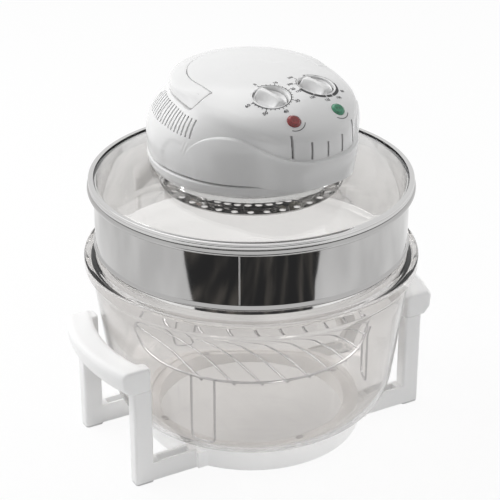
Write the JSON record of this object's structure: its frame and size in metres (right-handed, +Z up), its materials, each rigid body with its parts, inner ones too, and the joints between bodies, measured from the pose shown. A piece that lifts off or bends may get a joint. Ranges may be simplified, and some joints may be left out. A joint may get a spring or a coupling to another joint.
{
  "type": "halogen oven",
  "caption": "Countertop halogen oven: smoked glass bowl in a white stand, steel extender ring, wire rack and a lift-off glass lid with heater head, knobs and carry handle.",
  "frame": {"origin": "on the floor, on the bowl's axis, midway between the grips", "axes": "+Z up, +X through the right grip as seen from the front, -Y towards the front; the lid is turned 6 degrees on the extender, as in the picture"},
  "size_m": [0.37, 0.328, 0.381],
  "materials": {
    "white_plastic": "gloss moulded plastic",
    "inner_plastic": "matt moulded plastic",
    "rubber": "moulded",
    "smoked_glass": "lightly smoked, polished",
    "clear_glass": "clear, polished",
    "chromed_wire": "bright plated wire",
    "polished_steel": "mirror polished sheet",
    "plain_steel": "plain rolled sheet",
    "fan_aluminium": "plain",
    "fibre_board": "pressed mineral fibre board",
    "ceramic": "unglazed ceramic",
    "lamp_glass": "quartz tube",
    "copper": "drawn tube",
    "dark_plastic": "matt moulded plastic",
    "red_lens": "clear red, faceted",
    "green_lens": "clear green, faceted"
  },
  "bodies": {
    "stand": {"base_ring": "white_plastic", "leg_front_left": "white_plastic", "leg_front_right": "white_plastic", "leg_rear_left": "white_plastic", "leg_rear_right": "white_plastic", "left_grip": "white_plastic", "right_grip": "white_plastic", "foot_pads": "rubber", "bowl_pads": "rubber", "leg_screws": "plain_steel"},
    "bowl": {"glass_bowl": "smoked_glass"},
    "rack": {"rack_ring": "chromed_wire", "rack_grid": "chromed_wire", "rack_legs": "chromed_wire"},
    "extender": {"extender_ring": "polished_steel"},
    "lid": {"glass_lid": "clear_glass", "lid_band": "polished_steel", "lid_seal": "rubber", "lower_housing": "white_plastic", "upper_housing": "white_plastic", "reflector_pan": "polished_steel", "insulation_disc": "fibre_board", "heat_shield": "plain_steel", "halogen_lamp": "lamp_glass", "lamp_sockets": "ceramic", "fan_guard": "polished_steel", "guard_posts": "polished_steel", "motor": "plain_steel", "motor_bracket": "plain_steel", "timer_unit": "inner_plastic", "thermostat_unit": "plain_steel", "thermostat_bulb": "copper", "terminal_block": "inner_plastic", "safety_switch": "dark_plastic", "power_lens": "red_lens", "heat_lens": "green_lens", "lamp_holders": "inner_plastic", "handle_pins": "plain_steel", "cord_gland": "inner_plastic", "housing_screws": "plain_steel"},
    "rotor": {"motor_shaft": "plain_steel", "cooling_fan": "inner_plastic", "convection_fan": "fan_aluminium", "fan_nut": "plain_steel"},
    "timer_dial": {"timer_knob": "white_plastic"},
    "temp_dial": {"temp_knob": "white_plastic"},
    "handle": {"carry_handle": "white_plastic"},
    "plunger": {"switch_plunger": "inner_plastic"}
  },
  "joints": [
    {"name": "bowl_lift", "type": "slide", "parent": "stand", "child": "bowl", "axis": [0, 0, 1], "range_m": [0, 0.2]},
    {"name": "rack_lift", "type": "slide", "parent": "bowl", "child": "rack", "axis": [0, 0, 1], "range_m": [0, 0.15]},
    {"name": "extender_lift", "type": "slide", "parent": "bowl", "child": "extender", "axis": [0, 0, 1], "range_m": [0, 0.12]},
    {"name": "lid_lift", "type": "slide", "parent": "extender", "child": "lid", "axis": [0, 0, 1], "range_m": [0, 0.2]},
    {"name": "fan_spin", "type": "hinge", "parent": "lid", "child": "rotor", "pos_m": [0, 0, 0.3], "axis": [0, 0, 1], "continuous": true},
    {"name": "timer_turn", "type": "hinge", "parent": "lid", "child": "timer_dial", "pos_m": [-0.01841, -0.0688, 0.3764], "axis": [0.0217, -0.2068, 0.9781], "range_deg": [-300, 0]},
    {"name": "temp_turn", "type": "hinge", "parent": "lid", "child": "temp_dial", "pos_m": [0.03231, -0.06347, 0.3764], "axis": [0.0217, -0.2068, 0.9781], "range_deg": [-300, 0]},
    {"name": "handle_fold", "type": "hinge", "parent": "lid", "child": "handle", "pos_m": [0.00157, -0.01492, 0.3693], "axis": [0.9945, 0.1045, 0], "range_deg": [0, 90]},
    {"name": "plunger_slide", "type": "slide", "parent": "lid", "child": "plunger", "axis": [0, 0, 1], "range_m": [0, 0.003]}
  ],
  "couplings": [
    {"joint": "plunger_slide", "follows": "handle_fold", "m_per_rad": 0.0019}
  ]
}
